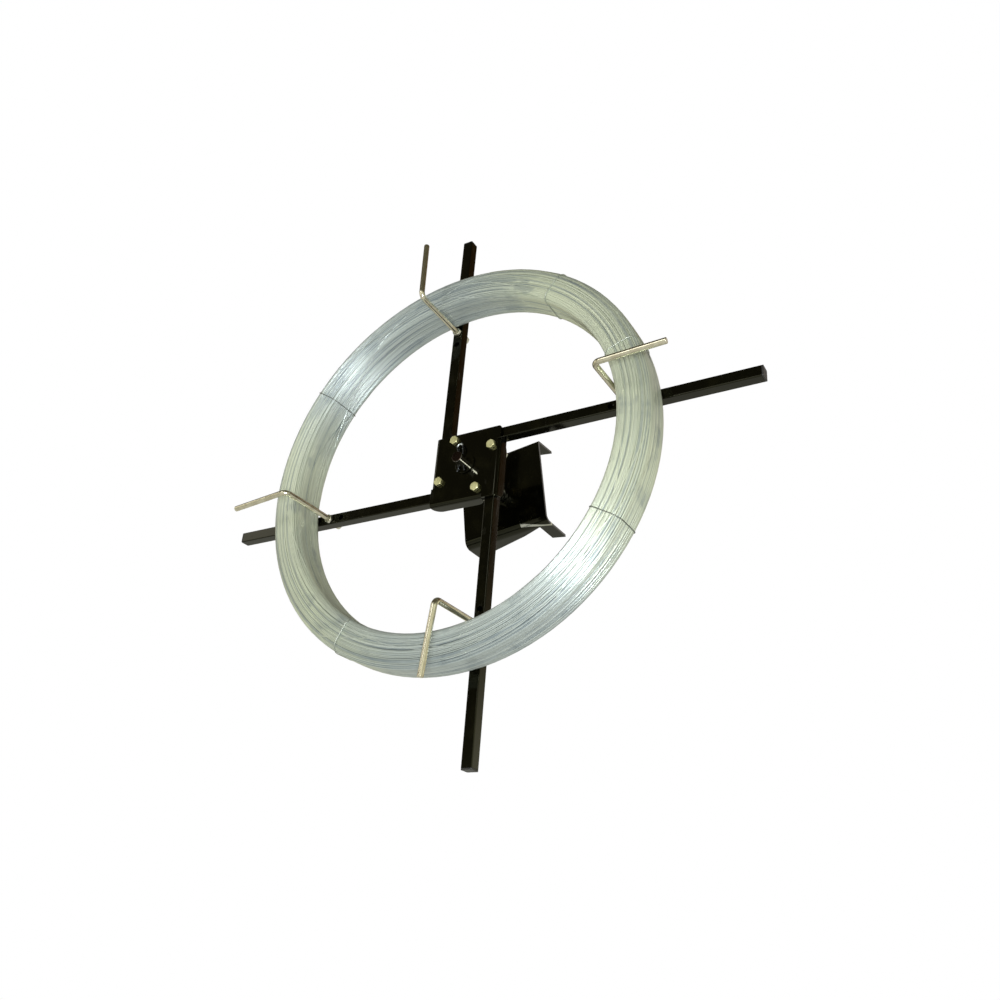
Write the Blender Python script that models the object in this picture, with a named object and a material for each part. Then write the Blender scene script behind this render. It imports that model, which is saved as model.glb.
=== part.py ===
"""Wire uncoiler: a reel of four tube arms that turns on a spindle, carried by a bent bracket.

Units are metres, +Z is up and the front looks along -Y. The origin is on the spindle's axis,
at the rear face of the bracket's web. The reel has the same axes, turned about the spindle by
reel_turn. Depths along Y follow from each other, from the bracket's web to the spindle's
front end.
"""

import math

import bmesh
import bpy
import numpy as np
from mathutils import Matrix, Vector

# Gap between pieces that rest on each other, and round a shaft in its hole
seat_gap = 0.0003
shaft_gap = 0.0003

# Angle at which the reel stands, turned about the spindle, clockwise from the front
reel_turn = math.radians(9.1)

# Bracket: a plate bent into a channel that opens to the rear, its depths from the web's front
bracket_width = 0.160
bracket_top = 0.0835
bracket_bottom = 0.080
bracket_plate = 0.0048
bracket_top_bend = 0.0065
bracket_lower_bend = 0.014
top_flange_lift = 5.5
top_flange_knee = (0.058, 0.042)
top_flange_tip = 0.053
lower_flange_depth = 0.049
lower_flange_knee = (0.0245, 0.027)
lower_flange_neck = (0.0565, 0.0157)
prong_inner_corner = (0.0597, 0.0615)
prong_outer_depth = 0.072

# Spindle and what is fixed on it
spindle_diameter = 0.01905
spindle_front_length = 0.0276
spindle_tail = 0.004
spindle_chamfer = 0.0012
spindle_nut_flats = 0.0286
spindle_nut_height = 0.0163
lock_washer_diameter = 0.034
lock_washer_thickness = 0.0036
spacer_diameter = 0.0267
spacer_length = 0.071
thrust_washer_diameter = 0.036
thrust_washer_thickness = 0.0024

# Hairpin clip: a straight leg through the spindle and a leg that bows round its side
clip_wire = 0.0032
clip_height = 0.0335
clip_loop_radius = 0.0052
clip_leg_tail = 0.007
clip_bow_tail = 0.013

# Hub: a front plate whose sides and lower edge are folded back as tabs, a flat back plate, a
# sleeve between them and two bushes in the sleeve
hub_front_width = 0.129
hub_plate_thickness = 0.0048
hub_plate_corner = 0.005
hub_plate_drop = 0.0045
hub_back_width = 0.118
hub_tab_depth = 0.0232
hub_tab_bend = 0.0065
hub_tab_round = 0.017
hub_tab_gap = 0.0049
hub_tab_relief = 0.001
sleeve_diameter = 0.034
sleeve_wall = 0.0032

# Arms: square tubes laid round the hub like a pinwheel
tube_size = 0.01905
tube_wall = 0.0021
tube_corner = 0.0018
tube_inner_corner = 0.0006
arm_offset = 0.0489
arm_reach = 0.495
plug_head = 0.0025
plug_length = 0.014

# Fasteners of the hub
bolt_diameter = 0.0095
bolt_flats = 0.0143
bolt_head_height = 0.006
bolt_nut_height = 0.0083
bolt_washer_diameter = 0.0205
bolt_washer_thickness = 0.0016
bolt_setback = 0.025
bolt_tail = 0.0025

# Retaining pins: bent rods that stand in one hole of the row in each arm
pin_diameter = 0.0095
pin_hole_pitch = 0.0254
pin_hole_count = 4
pin_hole_used = 1
pin_forward = 0.1161
pin_leg = 0.1131
pin_bend_radius = 0.010
pin_nut_flats = 0.0143
pin_front_nut_height = 0.0056
pin_rear_nut_height = 0.0083
pin_tail = 0.0025
pin_swivels = {"right": 2.5, "top": 1.7, "left": 5.8, "bottom": -5.7}

# Coil of wire: one strand of the winding stands for a few wires that lie side by side
coil_inner_radius = 0.3028
coil_depth = 0.055
coil_width = 0.068
coil_inner_corner = 0.0095
coil_outer_corner = 0.018
coil_back_gap = 0.0006
coil_slack = 0.0068
coil_start = math.radians(-60.0)
coil_facets = 24
coil_lanes = 24
strand_diameter = 0.007
core_gap = 0.0005
tie_wire = 0.0018
tie_gap = 0.0006
tie_angles = {"upper_left": 147.0, "upper_right": 55.5, "right": 21.0, "lower_right": -29.0, "lower_left": -118.0}

# Sides of round pieces, and steps in a rounded corner
round_sides = 24
fastener_sides = 12
corner_steps = 2
bend_steps = 5

# Points of a folded sheet closer than this are one
weld_distance = 0.000002
fine_steps = 8

# Quarter turns of the four arms about the spindle, counted anticlockwise from the front
arm_names = ("right", "top", "left", "bottom")


# Outlines: lists of points in a plane

def circle(radius, sides=round_sides):
    return [(radius * math.cos(2 * math.pi * i / sides), radius * math.sin(2 * math.pi * i / sides))
            for i in range(sides)]


def bore(radius, sides=round_sides):
    """A round hole whose flats lie at the radius, so that it clears a round shaft."""
    return circle(radius / math.cos(math.pi / sides), sides)


def hexagon(flats):
    points = []
    for i in range(fastener_sides):
        angle = 2 * math.pi * i / fastener_sides
        from_flat = (angle + math.pi / 6) % (math.pi / 3) - math.pi / 6
        reach = flats / 2 / math.cos(from_flat)
        points.append((reach * math.cos(angle), reach * math.sin(angle)))
    return points


def arc(centre, radius, first, last, steps):
    angles = [math.radians(first + (last - first) * i / steps) for i in range(steps + 1)]
    return [(centre[0] + radius * math.cos(a), centre[1] + radius * math.sin(a)) for a in angles]


def rounded_box(half_u, half_v, corners, steps=corner_steps):
    """The corners are the radii at +u+v, -u+v, -u-v and +u-v."""
    points = []
    quadrants = ((1, 1, 0), (-1, 1, 90), (-1, -1, 180), (1, -1, 270))
    for radius, (sign_u, sign_v, first) in zip(corners, quadrants):
        centre = (sign_u * (half_u - radius), sign_v * (half_v - radius))
        points += arc(centre, radius, first, first + 90, steps)
    return points


def square(size, corner):
    return rounded_box(size / 2, size / 2, [corner] * 4)


# Meshes

def to_mesh(shape):
    bmesh.ops.recalc_face_normals(shape, faces=shape.faces)
    mesh = bpy.data.meshes.new("shape")
    shape.to_mesh(mesh)
    shape.free()
    return mesh


def skin(rings, closed):
    """Bridge rings of points of the same count, and cap both ends or run back to the first."""
    shape = bmesh.new()
    loops = [[shape.verts.new(point) for point in ring] for ring in rings]
    pairs = list(zip(loops, loops[1:]))
    if closed:
        pairs.append((loops[-1], loops[0]))
    else:
        shape.faces.new(loops[0])
        shape.faces.new(loops[-1])
    count = len(loops[0])
    for here, there in pairs:
        for i in range(count):
            j = (i + 1) % count
            shape.faces.new((here[i], here[j], there[j], there[i]))
    return to_mesh(shape)


def turned(sections, closed=False):
    """A solid along Y, from pairs of an outline and its depth."""
    return skin([[(u, depth, v) for u, v in outline] for outline, depth in sections], closed)


def sleeve(outer, inner, span):
    return turned([(outer, span[0]), (outer, span[1]), (inner, span[1]), (inner, span[0])], closed=True)


def placed(mesh, places):
    """One mesh that holds a copy of the shape at each place (x, z), to cut with."""
    shape = bmesh.new()
    for x, z in places:
        copy = mesh.copy()
        copy.transform(Matrix.Translation((x, 0, z)))
        shape.from_mesh(copy)
        bpy.data.meshes.remove(copy)
    return to_mesh(shape)


def pin_hole(radius, sides, span):
    return turned([(bore(radius, sides), span[0]), (bore(radius, sides), span[1])])


def without(mesh, cutters):
    """The mesh with the cutters' volumes taken out."""
    solid = bpy.data.objects.new("solid", mesh)
    bpy.context.collection.objects.link(solid)
    tools = [bpy.data.objects.new("cutter", cutter) for cutter in cutters]
    for tool in tools:
        tool.hide_render = True
        tool.display_type = "WIRE"
        bpy.context.collection.objects.link(tool)
        cut = solid.modifiers.new("cut", "BOOLEAN")
        cut.operation = "DIFFERENCE"
        cut.solver = "EXACT"
        cut.object = tool
    bpy.context.view_layer.update()
    result = bpy.data.meshes.new_from_object(solid.evaluated_get(bpy.context.evaluated_depsgraph_get()))
    for used in [solid] + tools:
        bpy.data.objects.remove(used)
    return result


def rod(points, diameter, resolution, cyclic=False):
    """A round rod along the points, with 4 + 2 x resolution sides."""
    curve = bpy.data.curves.new("rod", "CURVE")
    curve.dimensions = "3D"
    curve.twist_mode = "MINIMUM"
    curve.bevel_depth = diameter / 2
    curve.bevel_resolution = resolution
    curve.use_fill_caps = True
    path = curve.splines.new("POLY")
    path.points.add(len(points) - 1)
    for slot, point in zip(path.points, points):
        slot.co = (*point, 1.0)
    path.use_cyclic_u = cyclic
    return curve


# Objects

for leftover in list(bpy.data.objects):
    bpy.data.objects.remove(leftover)

black_enamel = ((0.016, 0.015, 0.012), 0.0, 0.25)
zinc = ((0.62, 0.64, 0.62), 1.0, 0.32)
yellow_zinc = ((0.62, 0.55, 0.33), 1.0, 0.3)
bright_wire = ((0.52, 0.56, 0.53), 1.0, 0.35)
bronze = ((0.5, 0.3, 0.14), 1.0, 0.4)
plastic = ((0.01, 0.01, 0.01), 0.0, 0.5)


def piece(name, data, parent, finish):
    colour, metallic, roughness = finish
    material = bpy.data.materials.new(name)
    material.use_nodes = True
    shader = material.node_tree.nodes["Principled BSDF"]
    shader.inputs["Base Color"].default_value = (*colour, 1.0)
    shader.inputs["Metallic"].default_value = metallic
    shader.inputs["Roughness"].default_value = roughness
    data.name = name
    data.materials.clear()
    data.materials.append(material)
    if isinstance(data, bpy.types.Mesh):
        data.shade_smooth()
        data.set_sharp_from_angle(angle=math.radians(35))
    item = bpy.data.objects.new(name, data)
    item.parent = parent
    bpy.context.collection.objects.link(item)
    return item


def pivot(name, parent, turn, x=0.0, z=0.0):
    empty = bpy.data.objects.new(name, None)
    empty.parent = parent
    empty.location = (x, 0, z)
    empty.rotation_euler.y = turn
    bpy.context.collection.objects.link(empty)
    return empty


# Depths along the spindle, each as (front, back)

def ahead(back, thickness):
    return back - seat_gap - thickness, back - seat_gap


def behind(front, thickness):
    return front + seat_gap, front + seat_gap + thickness


web = (-bracket_plate, 0.0)
front_nut = ahead(web[0], spindle_nut_height)
spacer = ahead(front_nut[0], spacer_length)
rear_thrust = ahead(spacer[0], thrust_washer_thickness)
back_plate = ahead(rear_thrust[0], hub_plate_thickness)
tubes = ahead(back_plate[0], tube_size)
front_plate = ahead(tubes[0], hub_plate_thickness)
front_thrust = ahead(front_plate[0], thrust_washer_thickness)
clip_wire_span = ahead(front_thrust[0], clip_wire)
lock_washer = behind(web[1], lock_washer_thickness)
rear_nut = behind(lock_washer[1], spindle_nut_height)
spindle_span = (front_plate[0] - spindle_front_length, rear_nut[1] + spindle_tail)
bolt_washer = behind(back_plate[1], bolt_washer_thickness)
bolt_nut = behind(bolt_washer[1], bolt_nut_height)
bolt_head = ahead(front_plate[0], bolt_head_height)
pin_front_nut = ahead(tubes[0], pin_front_nut_height)
pin_rear_nut = behind(tubes[1], pin_rear_nut_height)

# Bracket

spindle_radius = spindle_diameter / 2
spindle_hole = spindle_radius + shaft_gap


def bracket_section():
    """The bent plate from the side, as (y, z) points round its thickness."""
    front = web[0]
    thick = bracket_plate
    upper = bracket_top_bend
    lower = bracket_lower_bend
    shoulder = (front + upper, bracket_top - upper)
    sole = (front + lower, lower - bracket_bottom)
    lift = 90 + top_flange_lift
    back = front + top_flange_tip

    def flange_end(bend):
        y, z = bend
        return (back, z + (back - y) * math.tan(math.radians(top_flange_lift)))

    outer = arc(shoulder, upper, lift, 180, bend_steps)
    outer = [flange_end(outer[0])] + outer + arc(sole, lower, 180, 270, bend_steps)
    outer += [(front + prong_outer_depth, -bracket_bottom)]
    inner = arc(shoulder, upper - thick, 180, lift, bend_steps)
    inner = arc(sole, lower - thick, 270, 180, bend_steps) + inner + [flange_end(inner[-1])]
    return outer + [(front + prong_outer_depth, thick - bracket_bottom)] + inner


def behind_edge(edge, low, high):
    """All that stands behind a flange's rear edge, whose points (x, depth) run to the right."""
    side = bracket_width / 2 + bracket_plate
    back = web[0] + max(depth for across, depth in edge) + bracket_plate
    plan = [(-side, web[0] + edge[0][1])] + [(across, web[0] + depth) for across, depth in edge[1:]]
    plan += [(edge[-1][0], back), (-side, back)]
    return skin([[(x, y, low) for x, y in plan], [(x, y, high) for x, y in plan]], closed=False)


sides = (-bracket_width / 2, bracket_width / 2)
channel = skin([[(x, y, z) for y, z in bracket_section()] for x in sides], closed=False)
web_hole = pin_hole(spindle_hole, round_sides, (web[0] - bracket_plate, web[1] + bracket_plate))
top_edge = [(sides[0], top_flange_knee[1]), top_flange_knee, (sides[1], top_flange_tip)]
lower_edge = [(sides[0], lower_flange_depth), lower_flange_knee, lower_flange_neck]
lower_edge += [prong_inner_corner, (sides[1], prong_outer_depth)]
above = behind_edge(top_edge, bracket_top - 2 * bracket_plate, bracket_top + 2 * bracket_plate)
below = behind_edge(lower_edge, -bracket_bottom - bracket_plate, 2 * bracket_plate - bracket_bottom)
piece("mounting_bracket", without(channel, [above, below, web_hole]), None, black_enamel)

# Spindle

end_radius = spindle_radius - spindle_chamfer
bar = turned([(circle(end_radius), spindle_span[0]),
              (circle(spindle_radius), spindle_span[0] + spindle_chamfer),
              (circle(spindle_radius), spindle_span[1] - spindle_chamfer),
              (circle(end_radius), spindle_span[1])])
clip_depth = sum(clip_wire_span) / 2
clip_hole = skin([[(x, clip_depth + y, z) for x, y in bore(clip_wire / 2 + shaft_gap, fastener_sides)]
                  for z in (-spindle_diameter, spindle_diameter)], closed=False)
piece("spindle", without(bar, [clip_hole]), None, black_enamel)

nut_bore = bore(spindle_hole, fastener_sides)
large_nut = hexagon(spindle_nut_flats)
piece("spindle_front_nut", sleeve(large_nut, nut_bore, front_nut), None, zinc)
piece("spindle_rear_nut", sleeve(large_nut, nut_bore, rear_nut), None, zinc)
piece("spindle_lock_washer", sleeve(circle(lock_washer_diameter / 2), bore(spindle_hole), lock_washer), None, zinc)
piece("spacer_tube", sleeve(circle(spacer_diameter / 2), bore(spindle_hole), spacer), None, black_enamel)
thrust_ring = circle(thrust_washer_diameter / 2)
piece("front_thrust_washer", sleeve(thrust_ring, bore(spindle_hole), front_thrust), None, black_enamel)
piece("rear_thrust_washer", sleeve(thrust_ring, bore(spindle_hole), rear_thrust), None, zinc)


def clip_path():
    """The clip from the front: up the straight leg, over the loop and down round the side."""
    bow = spindle_radius + shaft_gap + clip_wire / 2
    straight = [(0.0, -spindle_radius - clip_leg_tail), (0.0, clip_height / 2), (0.0, clip_height)]
    loop = arc((-clip_loop_radius, clip_height), clip_loop_radius, 30, 180, 5)
    neck = [(-2 * clip_loop_radius + 0.2 * bow, 0.8 * clip_height), (-0.5 * bow, 0.5 * clip_height + 0.12 * bow)]
    hug = arc((0.0, 0.0), bow, 118, 205, 5)
    tail = [(-1.06 * bow, -clip_bow_tail + 0.2 * bow), (-1.25 * bow, -clip_bow_tail)]
    return [(x, clip_depth, z) for x, z in straight + loop + neck + hug + tail]


piece("hairpin_clip", rod(clip_path(), clip_wire, 1), None, zinc)

# Hub, on the reel's pivot

reel = pivot("reel_axis", None, reel_turn)
bolt_hole = bolt_diameter / 2 + shaft_gap
quarter_turns = [-math.pi / 2 * k for k in range(4)]
bolt_places = [(-bolt_setback * math.cos(t) + arm_offset * math.sin(t),
                bolt_setback * math.sin(t) + arm_offset * math.cos(t)) for t in quarter_turns]


def folded_plate(front):
    """The front plate: a flat blank with a tab on each side and below, folded to the rear."""
    half = hub_front_width / 2
    top, bottom = half - hub_plate_drop, -half - hub_plate_drop
    side_fold, lower_fold = half - hub_tab_bend, bottom + hub_tab_bend
    end = arm_offset - tube_size / 2 - hub_tab_gap
    fold_length = (hub_tab_bend - hub_plate_thickness / 2) * math.pi / 2
    reach = fold_length + hub_tab_depth - hub_tab_bend
    tip, foot = side_fold + reach, lower_fold - reach
    r = hub_tab_round
    ear = end + hub_tab_relief
    blank = arc((half - hub_plate_corner, top - hub_plate_corner), hub_plate_corner, 0, 90, corner_steps)
    blank += arc((-tip + r, top - r), r, 90, 180, bend_steps) + arc((-tip + r, -end + r), r, 180, 270, bend_steps)
    blank += [(-side_fold, -end), (-side_fold, -ear), (-half, -ear)]
    blank += arc((-half + r, foot + r), r, 180, 270, bend_steps) + arc((end - r, foot + r), r, 270, 360, bend_steps)
    blank += [(end, lower_fold), (ear, lower_fold), (ear, bottom)]
    blank += arc((tip - r, bottom + r), r, 270, 360, bend_steps) + arc((tip - r, end - r), r, 0, 90, bend_steps)
    blank += [(side_fold, end), (side_fold, ear), (half, ear)]
    shape = bmesh.new()
    shape.from_mesh(turned([(blank, front), (blank, front + hub_plate_thickness)]))
    bmesh.ops.triangulate(shape, faces=shape.faces)
    relief_middle = (end + ear) / 2

    def past_fold(x, z):
        """How far a point of the blank lies past its tab's fold, and which fold: x or z."""
        if abs(x) > side_fold and (z if x > 0 else -z) < relief_middle:
            return abs(x) - side_fold, "x"
        if z < lower_fold and x < relief_middle:
            return lower_fold - z, "z"
        return 0.0, ""

    folds = (("x", (1, 0, 0), side_fold), ("x", (1, 0, 0), -side_fold), ("z", (0, 0, 1), lower_fold))
    for step in range(bend_steps + 1):
        beyond = fold_length * step / bend_steps
        for way, facing, line in folds:
            faces = shape.faces[:]
            if step:
                middles = [(face, face.calc_center_median()) for face in faces]
                faces = [face for face, at in middles if past_fold(at.x, at.z)[1] == way]
            place = Vector(facing) * (line + math.copysign(beyond, line))
            parts = dict.fromkeys(part for face in faces for part in [face, *face.edges, *face.verts])
            bmesh.ops.bisect_plane(shape, geom=list(parts), dist=weld_distance, plane_co=place, plane_no=facing)
    for point in shape.verts:
        x, y, z = point.co
        beyond, way = past_fold(x, z)
        if not way:
            continue
        radius = hub_tab_bend - (y - front)
        angle = min(beyond / fold_length, 1) * math.pi / 2
        point.co.y = front + hub_tab_bend - radius * math.cos(angle) + max(beyond - fold_length, 0)
        if way == "x":
            point.co.x = math.copysign(side_fold + radius * math.sin(angle), x)
        else:
            point.co.z = lower_fold - radius * math.sin(angle)
    bmesh.ops.remove_doubles(shape, verts=shape.verts, dist=weld_distance)
    bmesh.ops.dissolve_limit(shape, angle_limit=math.radians(1), verts=shape.verts, edges=shape.edges)
    return to_mesh(shape)


def drilled(plate, span):
    """A hub plate with its holes for the spindle and the hub bolts."""
    through = (span[0] - hub_plate_thickness, span[1] + hub_plate_thickness)
    bolt_holes = placed(pin_hole(bolt_hole, fastener_sides, through), bolt_places)
    return without(plate, [pin_hole(spindle_hole, round_sides, through), bolt_holes])


back_outline = square(hub_back_width, hub_plate_corner)
flat_plate = turned([(back_outline, back_plate[0]), (back_outline, back_plate[1])])
piece("hub_front_plate", drilled(folded_plate(front_plate[0]), front_plate), reel, black_enamel)
piece("hub_back_plate", drilled(flat_plate, back_plate), reel, black_enamel)
sleeve_bore = sleeve_diameter / 2 - sleeve_wall
sleeve_shape = sleeve(circle(sleeve_diameter / 2), circle(sleeve_bore), tubes)
piece("hub_sleeve", sleeve_shape, reel, black_enamel)
bush_outside = circle(sleeve_bore - shaft_gap)
middle = sum(tubes) / 2
front_bush = (tubes[0], middle - seat_gap / 2)
rear_bush = (middle + seat_gap / 2, tubes[1])
piece("hub_bush_front", sleeve(bush_outside, bore(spindle_hole), front_bush), reel, bronze)
piece("hub_bush_rear", sleeve(bush_outside, bore(spindle_hole), rear_bush), reel, bronze)

# Arms, each along +X of its own quarter turn. The pins stand inside the coil's bore, the
# slack short of its flats when the coil is centred

flat_share = math.cos(math.pi / coil_facets)
pin_to_coil = coil_inner_radius * flat_share - pin_diameter / 2
pin_distance = pin_to_coil - coil_slack
pin_radius = math.sqrt(pin_distance ** 2 - arm_offset ** 2)
pin_hole_first = pin_radius - pin_hole_pitch * pin_hole_used
arm_start = -arm_offset + tube_size / 2 + seat_gap


def tube_ring(outline, x):
    return [(x, middle + u, arm_offset + v) for u, v in outline]


def arm_tube():
    outer = square(tube_size, tube_corner)
    inner = square(tube_size - 2 * tube_wall, tube_inner_corner)
    tube = skin([tube_ring(outer, arm_start), tube_ring(outer, arm_reach),
                 tube_ring(inner, arm_reach), tube_ring(inner, arm_start)], closed=True)
    through = (tubes[0] - tube_size, tubes[1] + tube_size)
    hole_places = [(pin_hole_first + pin_hole_pitch * i, arm_offset) for i in range(pin_hole_count)]
    pin_holes = placed(pin_hole(pin_diameter / 2 + shaft_gap, fastener_sides, through), hole_places)
    bolt_cut = placed(pin_hole(bolt_hole, fastener_sides, through), [(-bolt_setback, arm_offset)])
    return without(tube, [pin_holes, bolt_cut])


def arm_plug():
    head = square(tube_size, tube_corner)
    stem = square(tube_size - 2 * tube_wall - 2 * seat_gap, tube_inner_corner)
    seat = arm_reach + seat_gap
    return skin([tube_ring(stem, arm_reach - plug_length), tube_ring(stem, seat),
                 tube_ring(head, seat), tube_ring(head, seat + plug_head)], closed=False)


def hub_bolt():
    shank = circle(bolt_diameter / 2, fastener_sides)
    head = hexagon(bolt_flats)
    return turned([(head, bolt_head[0]), (head, bolt_head[1]),
                   (shank, bolt_head[1]), (shank, bolt_nut[1] + bolt_tail)])


def pin_path():
    """Forward out of the arm, round the bend and out along the arm."""
    front = tubes[0] - pin_forward
    start = [(0.0, pin_rear_nut[1] + pin_tail), (0.0, tubes[0])]
    bend = arc((pin_bend_radius, front + pin_bend_radius), pin_bend_radius, 180, 270, bend_steps)
    return [(x, y, 0.0) for x, y in start + bend + [(pin_leg, front)]]


arm_mesh = arm_tube()
plug_mesh = arm_plug()
bolt_mesh = hub_bolt()
bolt_bore = bore(bolt_hole, fastener_sides)
bolt_washer_ring = circle(bolt_washer_diameter / 2, fastener_sides)
pin_bore = bore(pin_diameter / 2 + shaft_gap, fastener_sides)
pin_hexagon = hexagon(pin_nut_flats)
for name, turn in zip(arm_names, quarter_turns):
    arm = pivot("arm_axis_" + name, reel, turn)
    piece("arm_" + name, arm_mesh.copy(), arm, black_enamel)
    piece("arm_plug_" + name, plug_mesh.copy(), arm, plastic)
    bolt_axis = pivot("hub_bolt_axis_" + name, arm, 0.0, -bolt_setback, arm_offset)
    piece("hub_bolt_" + name, bolt_mesh.copy(), bolt_axis, yellow_zinc)
    piece("hub_washer_" + name, sleeve(bolt_washer_ring, bolt_bore, bolt_washer), bolt_axis, zinc)
    piece("hub_lock_nut_" + name, sleeve(hexagon(bolt_flats), bolt_bore, bolt_nut), bolt_axis, zinc)
    swivel = pivot("pin_axis_" + name, arm, -math.radians(pin_swivels[name]), pin_radius, arm_offset)
    piece("retaining_pin_" + name, rod(pin_path(), pin_diameter, 3), swivel, zinc)
    piece("pin_front_nut_" + name, sleeve(pin_hexagon, pin_bore, pin_front_nut), swivel, zinc)
    piece("pin_rear_nut_" + name, sleeve(pin_hexagon, pin_bore, pin_rear_nut), swivel, zinc)

# Coil: it hangs on the top and the right pin, so its centre lies below the spindle, on the
# line from their middle through the spindle

hanging = pin_to_coil - seat_gap
coil_sag = math.sqrt(hanging ** 2 - pin_distance ** 2 / 2) - pin_distance / math.sqrt(2)
pins_middle = Vector((pin_radius - arm_offset, pin_radius + arm_offset)).normalized()
coil_centre = -coil_sag * pins_middle
coil_middle = coil_inner_radius + coil_depth / 2
coil_back = tubes[0] - coil_back_gap
coil_depth_middle = coil_back - coil_width / 2


def coil_outline(inset, steps):
    """The coil's section, drawn in by the inset, as (radius from its middle, depth)."""
    corners = (coil_outer_corner - inset, coil_inner_corner - inset,
               coil_inner_corner - inset, coil_outer_corner - inset)
    return rounded_box(coil_depth / 2 - inset, coil_width / 2 - inset, corners, steps)


def on_coil(angle, out, along):
    radius = coil_middle + out
    return (coil_centre.x + radius * math.cos(angle),
            coil_depth_middle + along,
            coil_centre.y + radius * math.sin(angle))


def facet_share(angle):
    """How far the flat between two facets' corners lies in, as a share of the radius."""
    step = 2 * math.pi / coil_facets
    return flat_share / math.cos((angle - coil_start) % step - step / 2)


core_outline = coil_outline(strand_diameter + core_gap, corner_steps)
core_angles = [coil_start + 2 * math.pi * i / coil_facets for i in range(coil_facets)]
core = skin([[on_coil(angle, u, v) for u, v in core_outline] for angle in core_angles], closed=True)
piece("wire_coil_core", core, reel, bright_wire)


def winding_path():
    """One strand that moves on by a lane each loop, once round the coil's section."""
    lap = np.array(coil_outline(strand_diameter / 2, fine_steps))
    lap = np.vstack([lap, lap[:1]])
    lengths = np.concatenate([[0.0], np.cumsum(np.linalg.norm(np.diff(lap, axis=0), axis=1))])
    steps = coil_facets * coil_lanes - 2
    points = []
    for i in range(steps + 1):
        travelled = lengths[-1] * i / (coil_facets * coil_lanes)
        out = np.interp(travelled, lengths, lap[:, 0])
        along = np.interp(travelled, lengths, lap[:, 1])
        points.append(on_coil(coil_start + 2 * math.pi * i / coil_facets, out, along))
    points = np.array(points)
    first = points[0] - points[1]
    last = points[-1] - points[-2]
    start = points[0] + strand_diameter * first / np.linalg.norm(first)
    end = points[-1] + strand_diameter * last / np.linalg.norm(last)
    return np.vstack([start, points, end])


def least_gap(points, diameter):
    """The least distance between turns, less the strand's diameter."""
    halves = (points[1:] + points[:-1]) / 2
    dense = np.empty((len(points) + len(halves), 3))
    dense[0::2] = points
    dense[1::2] = halves
    nearest = math.inf
    for i, point in enumerate(dense):
        others = dense[i + coil_facets:]
        if len(others):
            nearest = min(nearest, np.linalg.norm(others - point, axis=1).min())
    return nearest - diameter


strand = winding_path()
print("winding: least gap to itself %.2f mm" % (1000 * least_gap(strand, strand_diameter)))
piece("wire_coil_winding", rod(strand.tolist(), strand_diameter, 1), reel, bright_wire)


def tie_path(degrees):
    angle = math.radians(degrees)
    share = facet_share(angle)
    path = []
    for u, v in coil_outline(-tie_gap - tie_wire / 2, 4):
        out = (coil_middle + u) * share - coil_middle
        path.append(on_coil(angle, out, v))
    return path


for name, degrees in tie_angles.items():
    piece("coil_tie_" + name, rod(tie_path(degrees), tie_wire, 1, cyclic=True), reel, bright_wire)
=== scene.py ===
import math
import random

import bmesh
import bpy
from mathutils import Matrix, Vector


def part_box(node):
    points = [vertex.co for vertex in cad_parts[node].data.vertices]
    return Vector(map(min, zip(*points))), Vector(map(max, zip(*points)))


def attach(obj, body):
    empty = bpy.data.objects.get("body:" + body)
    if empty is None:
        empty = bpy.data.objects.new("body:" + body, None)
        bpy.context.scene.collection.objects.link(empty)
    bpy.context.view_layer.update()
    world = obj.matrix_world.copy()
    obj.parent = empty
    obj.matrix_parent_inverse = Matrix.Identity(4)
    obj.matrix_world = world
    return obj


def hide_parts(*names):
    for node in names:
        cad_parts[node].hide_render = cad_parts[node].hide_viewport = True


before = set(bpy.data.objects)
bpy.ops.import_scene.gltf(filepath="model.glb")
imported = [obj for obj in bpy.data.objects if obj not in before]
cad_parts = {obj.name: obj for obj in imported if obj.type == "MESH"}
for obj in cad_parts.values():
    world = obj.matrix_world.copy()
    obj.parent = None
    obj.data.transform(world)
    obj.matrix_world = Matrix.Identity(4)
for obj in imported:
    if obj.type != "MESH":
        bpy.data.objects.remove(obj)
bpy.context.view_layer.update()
ops = bpy.ops

# Camera

camera_place = (0.6677, -1.2630, -0.8687)
forward = Vector((-0.4038, 0.7556, 0.5158)).normalized()
to_right = Vector((0.8606, 0.5050, -0.0660)).normalized()
to_right = (to_right - forward * to_right.dot(forward)).normalized()
upward = to_right.cross(forward)
facing = Matrix((to_right, upward, -forward)).transposed().to_4x4()
camera_data = bpy.data.cameras.new("camera")
camera_data.lens = 34.31
camera_data.sensor_width = 36
camera = bpy.data.objects.new("camera", camera_data)
camera.matrix_world = Matrix.Translation(camera_place) @ facing
bpy.context.collection.objects.link(camera)
bpy.context.scene.camera = camera
bpy.context.scene.view_settings.view_transform = "Standard"

# Sizes in metres and angles in degrees, as the CAD has them

# Gap between pieces that rest on each other, and how far a cutting piece reaches past what it cuts
seat_gap = 0.0003
cut_past = 0.01

# Turns about the spindle, clockwise from the front: the reel, and each arm in it
reel_turn = 9.1
arm_turns = {"right": 0.0, "top": -90.0, "left": -180.0, "bottom": -270.0}
pin_swivels = {"right": 2.5, "top": 1.7, "left": 5.8, "bottom": -5.7}

# Bracket: its depths are behind the web's rear face. An edge is its corners as (across, depth),
# and the top flange's runs are (across, how far the edge runs out behind its depth there)
bracket_width = 0.160
bracket_top = 0.0835
bracket_bottom = 0.080
bracket_plate = 0.0048
bracket_top_bend = 0.0065
bracket_lower_bend = 0.0140
web_hole = 0.0099
top_flange_lift = math.radians(5.5)
top_flange_depth = 0.0372
top_flange_knee = 0.0580
top_flange_runs = ((0.080, 0.0108), (0.0597, 0.0008))
lower_flange_neck = 0.0109
lower_flange_edge = ((-0.080, 0.0442), (0.0245, 0.0222), (0.0565, 0.0112))
prong_edge = ((0.0597, 0.0567), (0.080, 0.0672))

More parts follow.
